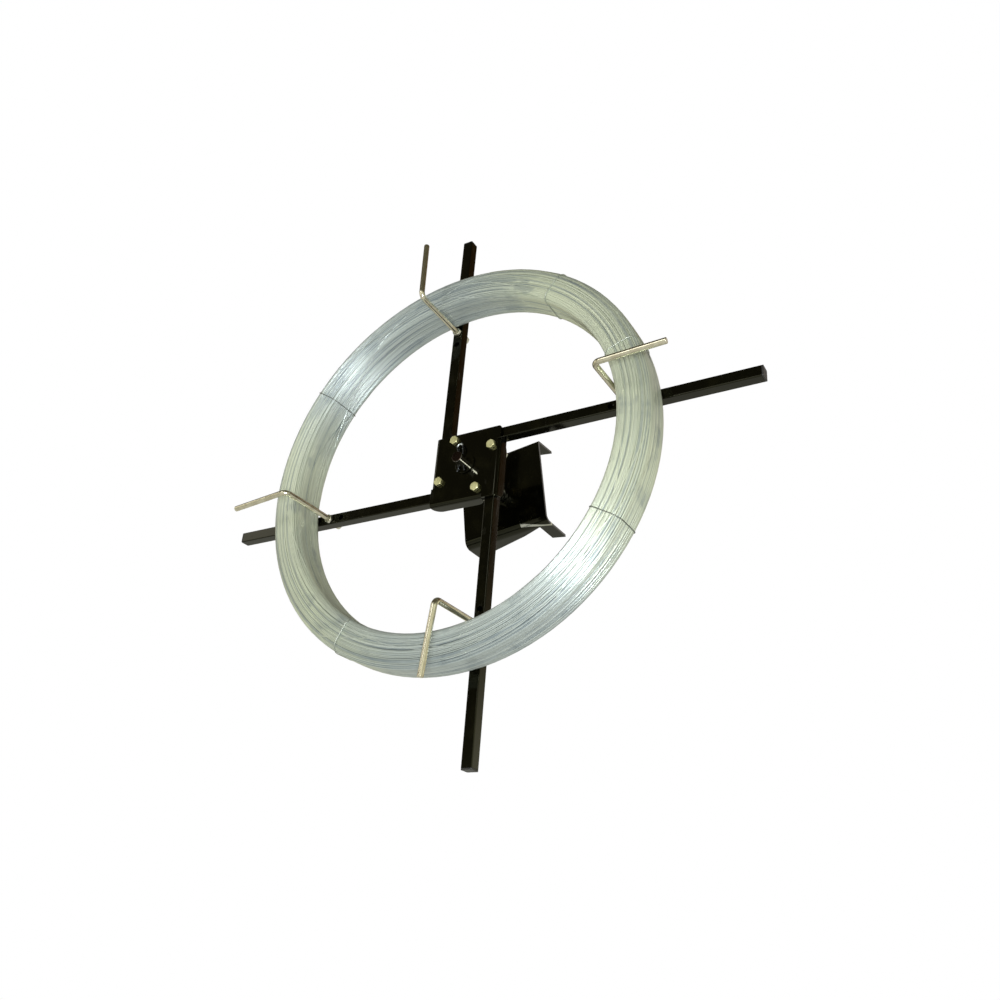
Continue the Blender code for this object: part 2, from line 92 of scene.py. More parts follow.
# Spindle and what is on it: bores and holes are given as radii
spindle_radius = 0.009525
spindle_bore = 0.00985
spindle_chamfer = 0.0012
spindle_nut_flats = 0.0286
lock_washer_radius = 0.017
lock_washer_slit = 0.0014
spacer_radius = 0.01335
spacer_bore = 0.0104
thrust_washer_radius = 0.018
clip_wire_radius = 0.0016
clip_hole = 0.0019

# Hub plates, the front one with three tabs folded back
hub_plate = 0.0048
hub_plate_corner = 0.005
hub_plate_hole = 0.0100
hub_front_width = 0.129
hub_front_drop = 0.0045
hub_back_width = 0.118
tab_bend = 0.0065
tab_depth = 0.0232
tab_round = 0.0162
tab_end = 0.0345
tab_relief = 0.001

# Arms
tube = 0.01905
wall = 0.0021
tube_corner = 0.0018
tube_inner_corner = 0.0006
arm_offset = 0.0489
arm_reach = 0.495
plug_head = 0.0025
plug_length = 0.014
plug_corner = 0.0020

# Bolts, pins and their nuts: bores and holes are radii, and the setback and the reach run along
# the arm from the spindle
bolt_setback = 0.025
bolt_radius = 0.00475
bolt_washer_radius = 0.01025
small_flats = 0.0143
small_bore = 0.0050
head_turns = {"right": 12, "top": 46, "left": 59, "bottom": 25}
pin_reach = 0.28449
pin_hole = 0.00505
pin_hole_pitch = 0.0254
pin_hole_count = 4
pin_hole_used = 1
pin_diameter = 0.0095
pin_forward = 0.1161
pin_leg = 0.1131
pin_bend = 0.010

# Coil: its section as the visible turns fill it, and how deep each layer lies in it
coil_inner = 0.3012
coil_outer = 0.3578
coil_outer_corner = 0.018
coil_inner_corner = 0.0120
wire_radius = 0.00125
outer_inset = 0.0016
loose_inset = 0.0014
lower_inset = 0.0030
heart_inset = 0.0048
tie_radius = 0.0007
tie_inset = -0.0003
tie_knots = 40


def span(node):
    """A node's front and rear, along the spindle."""
    low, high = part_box(node)
    return low[1], high[1]


def near(first, second):
    return abs(first - second) < 1e-4


# Modelling by hand

def deselect():
    if bpy.context.object and bpy.context.object.mode != "OBJECT":
        ops.object.mode_set(mode="OBJECT")
    ops.object.select_all(action="DESELECT")


def take(item):
    deselect()
    item.select_set(True)
    bpy.context.view_layer.objects.active = item


def start(name):
    """Names the primitive just added and opens it in edit mode with nothing selected."""
    item = bpy.context.object
    item.name = name
    ops.object.transform_apply(location=True, rotation=True, scale=True)
    ops.object.mode_set(mode="EDIT")
    ops.mesh.select_all(action="DESELECT")
    return item


def pick(kind, test):
    """Selects the open piece's vertices, edges or faces whose middle passes the test."""
    ops.mesh.select_mode(type=kind)
    ops.mesh.select_all(action="DESELECT")
    mesh = bpy.context.object.data
    shape = bmesh.from_edit_mesh(mesh)
    if kind == "VERT":
        for vertex in shape.verts:
            vertex.select_set(test(vertex.co))
    elif kind == "EDGE":
        for edge in shape.edges:
            a, b = edge.verts
            edge.select_set(test((a.co + b.co) / 2, (b.co - a.co).normalized()))
    else:
        for face in shape.faces:
            face.select_set(test(face.calc_center_median(), face.normal))
    shape.select_flush_mode()
    bmesh.update_edit_mesh(mesh)


def push(x=0.0, y=0.0, z=0.0):
    ops.mesh.extrude_region_move(TRANSFORM_OT_translate={"value": (x, y, z)})


def split(place, across):
    """Cuts the open piece's faces along a plane."""
    ops.mesh.select_all(action="SELECT")
    ops.mesh.bisect(plane_co=place, plane_no=across)


def close():
    """Leaves edit mode with the faces outwards and the piece shaded smooth, apart from its edges."""
    ops.mesh.select_all(action="SELECT")
    ops.mesh.normals_make_consistent(inside=False)
    ops.object.mode_set(mode="OBJECT")
    ops.object.shade_smooth_by_angle(angle=math.radians(35))


def finish_with(item, kind, **settings):
    """Adds a modifier and applies it."""
    take(item)
    modifier = item.modifiers.new(kind.lower(), kind)
    for name, value in settings.items():
        setattr(modifier, name, value)
    ops.object.modifier_apply(modifier=modifier.name)


def thicken(item, thickness):
    finish_with(item, "SOLIDIFY", thickness=thickness, offset=0.0, use_even_offset=True)


def cut(item, tool, operation="DIFFERENCE"):
    finish_with(item, "BOOLEAN", operation=operation, object=tool, solver="EXACT")
    bpy.data.objects.remove(tool)
    take(item)
    ops.object.shade_smooth_by_angle(angle=math.radians(35))


def soften(item, width, segments=2, angle=40):
    """Rounds the edges sharper than an angle."""
    finish_with(item, "BEVEL", width=width, segments=segments, limit_method="ANGLE",
                angle_limit=math.radians(angle), harden_normals=False)
    ops.object.shade_smooth_by_angle(angle=math.radians(35))
    finish_with(item, "WEIGHTED_NORMAL", keep_sharp=True, weight=50)


def block(name, place, size):
    """Adds a block and opens it."""
    deselect()
    ops.mesh.primitive_cube_add(size=1, location=place)
    bpy.context.object.scale = size
    return start(name)


def upright_sheet(name, place, width, height):
    """Adds a flat sheet that faces the front and opens it."""
    deselect()
    ops.mesh.primitive_plane_add(size=1, location=place, rotation=(math.pi / 2, 0, 0))
    bpy.context.object.scale = (width, height, 1)
    return start(name)


def cylinder(name, radius, front, back, x=0.0, z=0.0, sides=48):
    """Adds a cylinder that lies along the spindle's direction and opens it."""
    deselect()
    ops.mesh.primitive_cylinder_add(vertices=sides, radius=radius, depth=back - front,
                                    location=(x, (front + back) / 2, z), rotation=(math.pi / 2, 0, 0))
    return start(name)


def round_bar(name, radius, front, back, x=0.0, z=0.0, sides=48):
    item = cylinder(name, radius, front, back, x, z, sides)
    close()
    return item


def drill(item, radius, front, back, x=0.0, z=0.0, sides=48):
    """Cuts a round hole through a piece that reaches from a front to a back."""
    cut(item, round_bar("hole", radius, front - cut_past, back + cut_past, x, z, sides))


def ring(name, outer, inner, front, back, edge=0.0003):
    item = round_bar(name, outer, front, back)
    drill(item, inner, front, back)
    soften(item, edge)
    return item


def hexagon(name, flats, front, back, bore=None, crown_back=True):
    """A nut or a bolt's head: six flats whose corners run out in a cone at the crowned ends."""
    corners = flats / math.sqrt(3)
    item = cylinder(name, corners, front, back, sides=6)
    close()
    crown = 0.075 * flats
    low = front + crown
    high = back - crown if crown_back else back
    cone = cylinder("cone", corners * 1.004, low, high)
    ends = [(low, -1), (high, 1)] if crown_back else [(low, -1)]
    for place, way in ends:
        pick("FACE", lambda middle, normal: near(middle.y, place))
        push(y=way * crown * 1.02)
        ops.transform.resize(value=(0.80, 1, 0.80))
    close()
    cut(item, cone, "INTERSECT")
    if bore:
        drill(item, bore, front, back)
    soften(item, 0.00022, angle=20)
    return item


def tilt(item, degrees, x=0.0, z=0.0):
    """Moves a piece modelled about the spindle's axis, then turns it about that axis, in its mesh."""
    take(item)
    item.matrix_world = Matrix.Rotation(math.radians(degrees), 4, "Y") @ Matrix.Translation((x, 0, z))
    ops.object.transform_apply(location=True, rotation=True, scale=True)


def set_on_arm(item, arm, x=0.0, z=0.0):
    """Sets a piece at its place on the right arm and turns it to one of the four."""
    tilt(item, arm_turns[arm] + reel_turn, x, z)


def copy_of(item, name):
    twin = item.copy()
    twin.data = item.data.copy()
    twin.name = name
    bpy.context.collection.objects.link(twin)
    return twin


def wire_curve(name, radius, roundness):
    curve = bpy.data.curves.new(name, "CURVE")
    curve.dimensions = "3D"
    curve.bevel_depth = radius
    curve.bevel_resolution = roundness
    return curve


def meshed(curve):
    """Makes a curve's round wire a mesh piece with the curve's name."""
    item = bpy.data.objects.new(curve.name, curve)
    bpy.context.collection.objects.link(item)
    take(item)
    ops.object.convert(target="MESH")
    return bpy.context.object


def bent_wire(name, points, radius, roundness, cyclic=False):
    """A round wire on a smooth curve through the points."""
    curve = wire_curve(name, radius, roundness)
    curve.use_fill_caps = True
    curve.resolution_u = 5
    path = curve.splines.new("BEZIER")
    path.bezier_points.add(len(points) - 1)
    for knot, point in zip(path.bezier_points, points):
        knot.co = point
        knot.handle_left_type = knot.handle_right_type = "AUTO"
    path.use_cyclic_u = cyclic
    item = meshed(curve)
    ops.object.shade_smooth_by_angle(angle=math.radians(50))
    return item


# Shader maths

class Value:
    """A node's output. Arithmetic on it adds Math nodes."""

    def __init__(self, tree, socket):
        self.tree = tree
        self.socket = socket

    def maths(self, operation, *others):
        return self.tree.node("ShaderNodeMath", {"operation": operation}, self, *others)

    def __add__(self, other):
        return self.maths("ADD", other)

    def __radd__(self, other):
        return self.maths("ADD", other)

    def __sub__(self, other):
        return self.maths("SUBTRACT", other)

    def __rsub__(self, other):
        return self.maths("MULTIPLY_ADD", -1, other)

    def __mul__(self, other):
        return self.maths("MULTIPLY", other)

    def __rmul__(self, other):
        return self.maths("MULTIPLY", other)

    def above(self, edge, soft):
        """0 below the edge and 1 above it, over a soft width on each side."""
        return self.tree.node("ShaderNodeMapRange", {"interpolation_type": "SMOOTHSTEP"},
                              self, edge - soft, edge + soft, 0.0, 1.0)

    def below(self, edge, soft):
        return 1 - self.above(edge, soft)


class Nodes:
    """A node tree in the making."""

    def __init__(self, tree):
        self.nodes = tree.nodes
        self.links = tree.links

    def node(self, kind, settings=None, *values, out=0, **named):
        """Adds a node: its settings first, then its sockets in order or by name."""
        node = self.nodes.new(kind)
        for name, value in (settings or {}).items():
            setattr(node, name, value)
        for index, value in enumerate(values):
            self.feed(node.inputs[index], value)
        for name, value in named.items():
            self.feed(node.inputs[name.replace("_", " ")], value)
        return Value(self, node.outputs[out])

    def feed(self, socket, value):
        """Links a value to a socket or sets it there, and leaves the socket as it is for None."""
        if isinstance(value, Value):
            self.links.new(value.socket, socket)
        elif value is not None:
            socket.default_value = value

    def all_of(self, value):
        """All outputs of the node that a value comes from."""
        return [Value(self, socket) for socket in value.socket.node.outputs]

    def parts(self, vector):
        """A vector's shares across, in depth and in height."""
        return self.all_of(self.node("ShaderNodeSeparateXYZ", None, vector))


class Finish(Nodes):
    """A material in the making: its constants go on the shader, the rest comes through nodes."""

    def __init__(self, name, **constants):
        self.material = bpy.data.materials.new(name)
        self.material.use_nodes = True
        super().__init__(self.material.node_tree)
        self.shader = self.nodes["Principled BSDF"]
        self.set(**constants)
        self.place = self.node("ShaderNodeTexCoord", out="Object")

    def set(self, **values):
        for name, value in values.items():
            self.feed(self.shader.inputs[name.replace("_", " ")], value)

    def noise(self, scale, detail=2.0, roughness=0.5, stretch=None):
        place = self.place
        if stretch:
            place = self.node("ShaderNodeMapping", None, place, Scale=stretch)
        return self.node("ShaderNodeTexNoise", None, Vector=place, Scale=scale, Detail=detail,
                         Roughness=roughness)

    def mix(self, share, first, second):
        """A colour between two others."""
        colours = [c if isinstance(c, Value) else (*c, 1) for c in (first, second)]
        other_kinds = [None] * 5
        return self.node("ShaderNodeMix", {"data_type": "RGBA"}, share, *other_kinds, *colours, out=2)

    def bump(self, height, strength, distance=0.0004):
        self.set(Normal=self.node("ShaderNodeBump", None, Strength=strength, Distance=distance,
                                  Height=height))


# Finishes

def enamel(name, bright_strip=False):
    """Black enamel over steel: glossy, with orange peel, dust, a few rougher scuffs and perhaps a bright
    metallic strip.
    """
    finish = Finish(name, IOR=1.5, Specular_IOR_Level=0.3, Specular_Tint=(1, 1, 0.7, 1))
    peel = finish.noise(260, 2.0)
    dust = finish.noise(34, 5.0, 0.62)
    scuffs = finish.noise(90, 3.0, 0.55, stretch=(1, 1, 0.2)).above(0.66, 0.03)
    colour = finish.mix(dust.above(0.58, 0.12) * 0.6, (0.0005, 0.0005, 0.0002), (0.0032, 0.0029, 0.0011))
    # The strip is bright metal along a bowed line on the underside.
    if bright_strip:
        strip_share = bright_metal_line(finish, peel)
        colour = finish.mix(strip_share, colour, (0.42, 0.42, 0.37))
        finish.set(Metallic=strip_share * 0.85)
    finish.set(Base_Color=colour, Roughness=0.07 + dust * 0.06 + scuffs * 0.12)
    finish.bump(peel, 0.06)
    return finish.material


def bright_metal_line(finish, peel):
    """A ragged strip along a bowed line on the bracket's underside, wider towards its right end."""
    across, depth, height = finish.parts(finish.place)
    run = across - 0.030
    off = depth + 0.0026 - run * 0.0855 - run * run * 5.06
    strip = (off.maths("ABSOLUTE") - run * 0.02 + peel * 0.0008).below(0.0017, 0.0006)
    return strip * run.above(0, 0.0006) * height.below(-0.069, 0.001)


def plated(name, pale, deep, rough=0.2, painted_glint_above=None):
    """Plated or bare metal, faintly clouded and scratched, with a painted bluish-white glint above a height
    if one is given.
    """
    finish = Finish(name, Metallic=1.0)
    cloud = finish.noise(70, 4.0, 0.6)
    grain = finish.noise(900, 1.0)
    colour = finish.mix(cloud.above(0.52, 0.18), pale, deep)
    if painted_glint_above:
        # Painted glint: above the height the colour turns bluish white.
        height = finish.parts(finish.place)[2]
        colour = finish.mix(height.above(painted_glint_above, 0.001), colour, (0.74, 0.80, 0.86))
    finish.set(Base_Color=colour, Roughness=rough + cloud * 0.14 + grain * 0.05)
    finish.bump(grain + cloud * 0.6, 0.08)
    return finish.material


def threaded(name, pale, deep, front, pitch):
    """Plated metal with a thread cut from a depth rearwards."""
    finish = Finish(name, Metallic=1.0)
    cloud = finish.noise(70, 4.0, 0.6)
    along = finish.parts(finish.place)[1]
    ridges = (along * (2 * math.pi / pitch)).maths("SINE")
    colour = finish.mix(cloud.above(0.52, 0.18), pale, deep)
    finish.set(Base_Color=colour, Roughness=0.17 + cloud * 0.14)
    finish.bump(ridges * along.above(front, 0.0006) + cloud * 0.04, 0.4)
    return finish.material


def galvanised(name):
    """Drawn fence wire: each turn has its own tone, and the zinc's bloom shifts along them.

    A painted sheen makes the turns greyer and bluer towards the coil's top and bottom, and painted shade
    darkens patches on some turns and stretches of a few others, more of them near its top.
    """
    finish = Finish(name, Metallic=0.6)
    own = finish.node("ShaderNodeNewGeometry", out="Random Per Island")
    bloom = finish.noise(13, 4.0, 0.6)
    fine = finish.noise(240, 2.0, 0.6)
    across, _, height = finish.parts(finish.place)
    # Painted sheen: bluish grey across the coil's top and bottom, where the lamps' bluish sheen lies.
    side = across * 0.866 + height * 0.17 + 0.03
    painted_sheen = (side.maths("ABSOLUTE") + bloom * 0.12).below(0.25, 0.07)
    deep = finish.mix(painted_sheen, (0.48, 0.52, 0.42), (0.34, 0.38, 0.37))
    pale = finish.mix(painted_sheen, (0.63, 0.675, 0.55), (0.48, 0.53, 0.52))
    tone = finish.mix((own * 0.7 + bloom * 0.3).above(0.46, 0.34), deep, pale)
    # Painted shade: dark patches on some turns.
    painted_shade_patches = finish.noise(17, 3.0, 0.5).above(0.61, 0.05) * own.above(0.35, 0.2)
    tone = finish.mix(painted_shade_patches * 0.5, tone, (0.20, 0.24, 0.26))
    # Painted shade: darkened stretches of a few turns, more of them near the coil's top.
    top = painted_sheen * height.above(0.20, 0.10)
    painted_shade_turns = own.above(0.82 - top * 0.3, 0.02) * (bloom * 1.8 - 0.2)
    tone = finish.mix(painted_shade_turns * 0.75, tone, (0.15, 0.19, 0.22))
    finish.set(Base_Color=tone, Roughness=0.26 + bloom * 0.10 + fine * 0.03)
    finish.bump(fine, 0.02, 0.0003)
    return finish.material


def plain(name, colour, metallic, rough):
    """One colour, faintly clouded."""
    finish = Finish(name, Metallic=metallic)
    cloud = finish.noise(120, 3.0, 0.6)
    finish.set(Base_Color=finish.mix(cloud.above(0.5, 0.25), colour, [0.7 * c for c in colour]),
               Roughness=rough + cloud * 0.15)
    return finish.material


thread_start = span("pin_front_nut_right")[0] - 0.006
thread_pitch = 0.0016
clip_top = 0.0345

black = enamel("black_enamel")
bracket_black = enamel("bracket_enamel", bright_strip=True)
zinc = plated("bright_zinc", (0.70, 0.69, 0.60), (0.56, 0.54, 0.44))
yellow_zinc = plated("yellow_zinc", (0.72, 0.70, 0.40), (0.46, 0.44, 0.22), 0.36)
pin_zinc = threaded("pin_zinc", (0.68, 0.65, 0.52), (0.52, 0.48, 0.36), thread_start, thread_pitch)
wire = galvanised("galvanised_wire")
dark_steel = plated("dark_steel", (0.44, 0.43, 0.42), (0.30, 0.29, 0.28), 0.05)
end_steel = plated("end_steel", (0.030, 0.018, 0.013), (0.018, 0.011, 0.008), 0.16)
# The spindle's zinc nuts are painted near-black: painted shade where they sit behind the hub.
nut_steel = plated("nut_steel", (0.12, 0.12, 0.11), (0.06, 0.06, 0.055), 0.10)
# The clip is darkened, and its loop carries a painted bluish-white glint above clip_top.
spring_steel = plated("spring_steel", (0.05, 0.055, 0.06), (0.03, 0.032, 0.035), 0.16, clip_top)
dark_tie = plated("dark_tie_wire", (0.22, 0.23, 0.21), (0.13, 0.14, 0.12), 0.4)
pale_tie = plated("pale_tie_wire", (0.52, 0.55, 0.50), (0.42, 0.45, 0.41), 0.4)
# Painted shade: the coil's heart is coloured much darker than the turns, so the gaps between them read dark.
heart_wire = plain("heart_wire", (0.24, 0.27, 0.24), 0.4, 0.5)
bronze = plain("bronze", (0.42, 0.27, 0.13), 1.0, 0.3)
plastic = plain("black_plastic", (0.012, 0.012, 0.012), 0.0, 0.4)


def dress(item, material, body, slot, *nodes):
    """Gives a finished piece its material and its body, and hides the CAD nodes that it stands for."""
    item.data.materials.clear()
    item.data.materials.append(material)
    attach(item, body)
    if nodes:
        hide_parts(*nodes)


# Bracket

def bent_bracket():
    """The web's middle skin, bent and drawn out edge by edge, then thickened."""
    half = bracket_plate / 2
    level = -half
    upper_bend = bracket_top_bend - half
    lower_bend = bracket_lower_bend - half
    upper = bracket_top - half - upper_bend
    lower = lower_bend + half - bracket_bottom
    item = upright_sheet("bracket", (0, level, (upper + lower) / 2), bracket_width, upper - lower)
    knees = [lower_flange_edge[1][0], lower_flange_edge[2][0], top_flange_knee, prong_edge[0][0]]
    for across in knees:
        split((across, 0, 0), (1, 0, 0))

    pick("EDGE", lambda middle, way: near(middle.z, upper) and abs(way.x) > 0.9)
    ops.mesh.spin(steps=6, angle=math.pi / 2 - top_flange_lift, center=(0, level + upper_bend, upper),
                  axis=(1, 0, 0))
    slope = math.tan(top_flange_lift)
    flange = top_flange_depth - level - upper_bend * (1 - math.sin(top_flange_lift))
    push(y=flange, z=flange * slope)
    for across, run in top_flange_runs:
        pick("VERT", lambda place: near(place.x, across) and near(place.y, top_flange_depth) and place.z > 0)
        ops.transform.translate(value=(0, run, run * slope))

    pick("EDGE", lambda middle, way: near(middle.z, lower) and abs(way.x) > 0.9)
    ops.mesh.spin(steps=10, angle=-math.pi / 2, center=(0, level + lower_bend, lower), axis=(1, 0, 0))
    push(y=lower_flange_neck - level - lower_bend)
    draw_out(lower_flange_edge, half - bracket_bottom)
    draw_out(prong_edge, half - bracket_bottom)
    close()
    thicken(item, bracket_plate)
    cut(item, round_bar("hole", web_hole, -0.02, 0.02))
    soften(item, 0.0004, angle=50)
    return item


def draw_out(edge, level):
    """Draws a stretch of the lower flange's rear edge out from its neck, corner by corner."""
    step = 0.002
    pick("EDGE", lambda middle, way: near(middle.z, level) and near(middle.y, lower_flange_neck)
         and abs(way.x) > 0.9 and edge[0][0] < middle.x < edge[-1][0])
    push(y=step)
    for across, depth in edge:
        pick("VERT", lambda place: near(place.z, level) and near(place.y, lower_flange_neck + step)
             and near(place.x, across))
        ops.transform.translate(value=(0, depth - lower_flange_neck - step, 0))


dress(bent_bracket(), bracket_black, "mount", "black_enamel", "mounting_bracket")

# Spindle and what is on it

clip_depth = sum(span("hairpin_clip")) / 2
bar = round_bar("spindle_bar", spindle_radius, *span("spindle"))
soften(bar, spindle_chamfer, segments=3)
deselect()
ops.mesh.primitive_cylinder_add(vertices=32, radius=clip_hole, depth=0.05, location=(0, clip_depth, 0))
hole = start("hole")
close()
cut(bar, hole)
dress(bar, dark_steel, "mount", "black_enamel", "spindle")
bar.data.materials.append(end_steel)
for face in bar.data.polygons:
    if face.normal.y < -0.3:
        face.material_index = 1

for node in ("spindle_front_nut", "spindle_rear_nut"):
    nut = hexagon(node + "_piece", spindle_nut_flats, *span(node), bore=spindle_bore)
    dress(nut, nut_steel, "mount", "zinc", node)

washer = ring("split_washer", lock_washer_radius, spindle_bore, *span("spindle_lock_washer"), edge=0.0005)
washer_depth = sum(span("spindle_lock_washer")) / 2
slit = block("slit", (0.013, washer_depth, 0), (0.02, 0.01, lock_washer_slit))
ops.mesh.select_all(action="SELECT")
ops.transform.rotate(value=math.radians(-25), orient_axis="X", center_override=(0, washer_depth, 0))
close()
cut(washer, slit)
dress(washer, zinc, "mount", "zinc", "spindle_lock_washer")

spacer = ring("spacer", spacer_radius, spacer_bore, *span("spacer_tube"), edge=0.0005)
dress(spacer, black, "mount", "black_enamel", "spacer_tube")
thrust_washers = (("front_thrust_washer", black, "black_enamel"), ("rear_thrust_washer", zinc, "zinc"))
for node, material, slot in thrust_washers:
    washer = ring(node + "_piece", thrust_washer_radius, spindle_bore, *span(node), edge=0.0005)
    dress(washer, material, "mount", slot, node)

# The clip's points, (across, height): a leg up through the spindle, a loop and a leg that bows
# down the spindle's left side
clip_points = [(0, -0.0165), (0, 0), (0, 0.018), (0, 0.0335), (-0.0014, 0.0372), (-0.0052, 0.0388),
               (-0.0090, 0.0372), (-0.0104, 0.0335), (-0.0085, 0.0262), (-0.0058, 0.0175),
               (-0.0070, 0.0117), (-0.0104, 0.0046), (-0.0113, -0.0012), (-0.0103, -0.0056),
               (-0.0118, -0.0098), (-0.0143, -0.0130)]
clip = bent_wire("clip", [(x, clip_depth, z) for x, z in clip_points], clip_wire_radius, roundness=4)
dress(clip, spring_steel, "mount", "zinc", "hairpin_clip")

# Hub

def folded_plate():
    """The front plate's middle skin, with a tab folded back on each side and below, then thickened."""
    front = span("hub_front_plate")[0]
    level = front + hub_plate / 2
    bend = tab_bend - hub_plate / 2
    half = hub_front_width / 2
    top = half - hub_front_drop
    fold = half - tab_bend
    low_fold = tab_bend - half - hub_front_drop
    slot_end = tab_end + tab_relief
    item = upright_sheet("folded_plate", (0, level, -hub_front_drop), hub_front_width, hub_front_width)
    for across in (-fold, fold, tab_end, slot_end):
        split((across, 0, 0), (1, 0, 0))
    for height in (low_fold, tab_end, slot_end, -tab_end, -slot_end):
        split((0, 0, height), (0, 0, 1))
    pick("FACE", lambda middle, normal: (middle.x > fold and middle.z < slot_end)
         or (middle.x < -fold and middle.z > -slot_end) or (middle.z < low_fold and middle.x < slot_end))
    ops.mesh.delete(type="FACE")

    def fold_back(x, z, axis, way, test):
        """Spins the edges of one fold round its bend and draws the tab out."""
        pick("EDGE", lambda middle, _: near(middle.y, level) and test(middle))
        ops.mesh.spin(steps=6, angle=way * math.pi / 2, center=(x, level + bend, z), axis=axis)
        push(y=tab_depth - tab_bend)

    fold_back(fold, 0, (0, 0, 1), -1, lambda middle: near(middle.x, fold) and middle.z < tab_end)
    fold_back(-fold, 0, (0, 0, 1), 1, lambda middle: near(middle.x, -fold) and middle.z > -tab_end)
    fold_back(0, low_fold, (1, 0, 0), -1, lambda middle: near(middle.z, low_fold) and middle.x < tab_end)
    ops.mesh.select_all(action="SELECT")
    ops.mesh.remove_doubles(threshold=1e-6)
    ops.mesh.dissolve_limited(angle_limit=math.radians(1))
    pick("VERT", lambda place: near(place.y, front + tab_depth))
    ops.mesh.bevel(offset=tab_round, segments=8, affect="VERTICES")
    pick("VERT", lambda place: near(place.x, half) and near(place.z, top))
    ops.mesh.bevel(offset=hub_plate_corner, segments=5, affect="VERTICES")
    close()
    thicken(item, hub_plate)
    return item


def flat_plate():
    front, back = span("hub_back_plate")
    item = block("flat_plate", (0, (front + back) / 2, 0), (hub_back_width, back - front, hub_back_width))
    pick("EDGE", lambda middle, way: abs(way.y) > 0.9)
    ops.mesh.bevel(offset=hub_plate_corner, segments=6, affect="EDGES")
    close()
    return item


for cover, node in ((folded_plate(), "hub_front_plate"), (flat_plate(), "hub_back_plate")):
    drill(cover, hub_plate_hole, *span(node))
    soften(cover, 0.0006, angle=50)
    tilt(cover, reel_turn)
    dress(cover, black, "reel", "black_enamel", node)

head_front, bolt_end = span("hub_bolt_right")
head_back = span("hub_front_plate")[0] - seat_gap
for name in arm_turns:
    bolt = hexagon("bolt_" + name, small_flats, head_front, head_back, crown_back=False)
    shank = round_bar("shank", bolt_radius, head_back - 0.001, bolt_end, sides=32)
    soften(shank, 0.0008)
    cut(bolt, shank, "UNION")
    tilt(bolt, head_turns[name])
    set_on_arm(bolt, name, -bolt_setback, arm_offset)
    dress(bolt, yellow_zinc, "reel", "yellow_zinc", "hub_bolt_" + name)
    washer = ring("bolt_washer_" + name, bolt_washer_radius, small_bore, *span("hub_washer_" + name))
    set_on_arm(washer, name, -bolt_setback, arm_offset)
    dress(washer, zinc, "reel", "zinc", "hub_washer_" + name)
    nut = hexagon("bolt_nut_" + name, small_flats, *span("hub_lock_nut_" + name), bore=small_bore)
    set_on_arm(nut, name, -bolt_setback, arm_offset)
    dress(nut, zinc, "reel", "zinc", "hub_lock_nut_" + name)

for node, material in (("hub_sleeve", black), ("hub_bush_front", bronze), ("hub_bush_rear", bronze)):
    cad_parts[node].data.materials.clear()
    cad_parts[node].data.materials.append(material)

# Arms

tube_front, tube_back = span("arm_right")
tube_middle = (tube_front + tube_back) / 2
arm_start = tube / 2 + seat_gap - arm_offset


def square_bar(name, start_at, end_at, side, corner):
    """A square bar at the right arm's place, with rounded edges."""
    item = block(name, ((start_at + end_at) / 2, tube_middle, arm_offset), (end_at - start_at, side, side))
    pick("EDGE", lambda middle, way: abs(way.x) > 0.9)
    ops.mesh.bevel(offset=corner, segments=4, affect="EDGES")
    close()
    return item


def square_tube():
    item = square_bar("tube", arm_start, arm_reach, tube, tube_corner)
    inside = square_bar("inside", arm_start - cut_past, arm_reach + cut_past, tube - 2 * wall,
                        tube_inner_corner)
    cut(item, inside)
    for i in range(pin_hole_count):
        hole_x = pin_reach + pin_hole_pitch * (i - pin_hole_used)
        drill(item, pin_hole, tube_front, tube_back, hole_x, arm_offset, sides=32)
    soften(item, 0.00025, angle=50)
    return item


def end_plug():
    """A flat head on the tube's end and a square boss inside it."""
    head_middle = arm_reach + seat_gap + plug_head / 2
    item = block("plug", (head_middle, tube_middle, arm_offset), (plug_head, tube, tube))
    pick("EDGE", lambda middle, way: abs(way.x) > 0.9)
    ops.mesh.bevel(offset=plug_corner, segments=4, affect="EDGES")
    pick("FACE", lambda middle, normal: normal.x < -0.9)
    ops.mesh.inset(thickness=wall + seat_gap, depth=0)
    push(x=-plug_length)
    close()
    soften(item, 0.0005, segments=3, angle=50)
    return item


arm_piece = square_tube()
plug_piece = end_plug()
for name in arm_turns:
    arm = copy_of(arm_piece, "arm_tube_" + name)
    set_on_arm(arm, name)
    dress(arm, black, "reel", "black_enamel", "arm_" + name)
    plug = copy_of(plug_piece, "end_plug_" + name)
    set_on_arm(plug, name)
    dress(plug, plastic, "reel", "black_plastic", "arm_plug_" + name)
bpy.data.objects.remove(arm_piece)
bpy.data.objects.remove(plug_piece)

# Retaining pins

pin_face = tube_front - pin_forward
pin_end = span("retaining_pin_right")[1]


def bent_pin():
    """A rod drawn out of the arm, spun round its bend and drawn out along the arm."""
    deselect()
    ops.mesh.primitive_circle_add(vertices=32, radius=pin_diameter / 2, fill_type="NGON",
                                  location=(0, pin_end, 0), rotation=(math.pi / 2, 0, 0))
    item = start("pin")
    ops.mesh.select_all(action="SELECT")
    push(y=pin_face + pin_bend - pin_end)
    ops.mesh.spin(steps=12, angle=-math.pi / 2, center=(pin_bend, pin_face + pin_bend, 0), axis=(0, 0, 1))
    push(x=pin_leg - pin_bend)
    close()
    soften(item, 0.0009, segments=3, angle=50)
    return item


def set_as_pin(item, name, material, node):
    """Turns a piece with its pin, sets it in the pin's hole and dresses it."""
    tilt(item, -pin_swivels[name])
    set_on_arm(item, name, pin_reach, arm_offset)
    dress(item, material, "pin_" + name, "zinc", node + name)


pin_piece = bent_pin()
for name in arm_turns:
    set_as_pin(copy_of(pin_piece, "pin_rod_" + name), name, pin_zinc, "retaining_pin_")
    for node in ("pin_front_nut_", "pin_rear_nut_"):
        nut = hexagon(node + name + "_piece", small_flats, *span(node + name), bore=small_bore)
        set_as_pin(nut, name, zinc, node)
bpy.data.objects.remove(pin_piece)

# Coil

core_low, core_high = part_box("wire_coil_core")
centre_x = (core_low[0] + core_high[0]) / 2
centre_z = (core_low[2] + core_high[2]) / 2
coil_front, coil_back = span("wire_coil_winding")


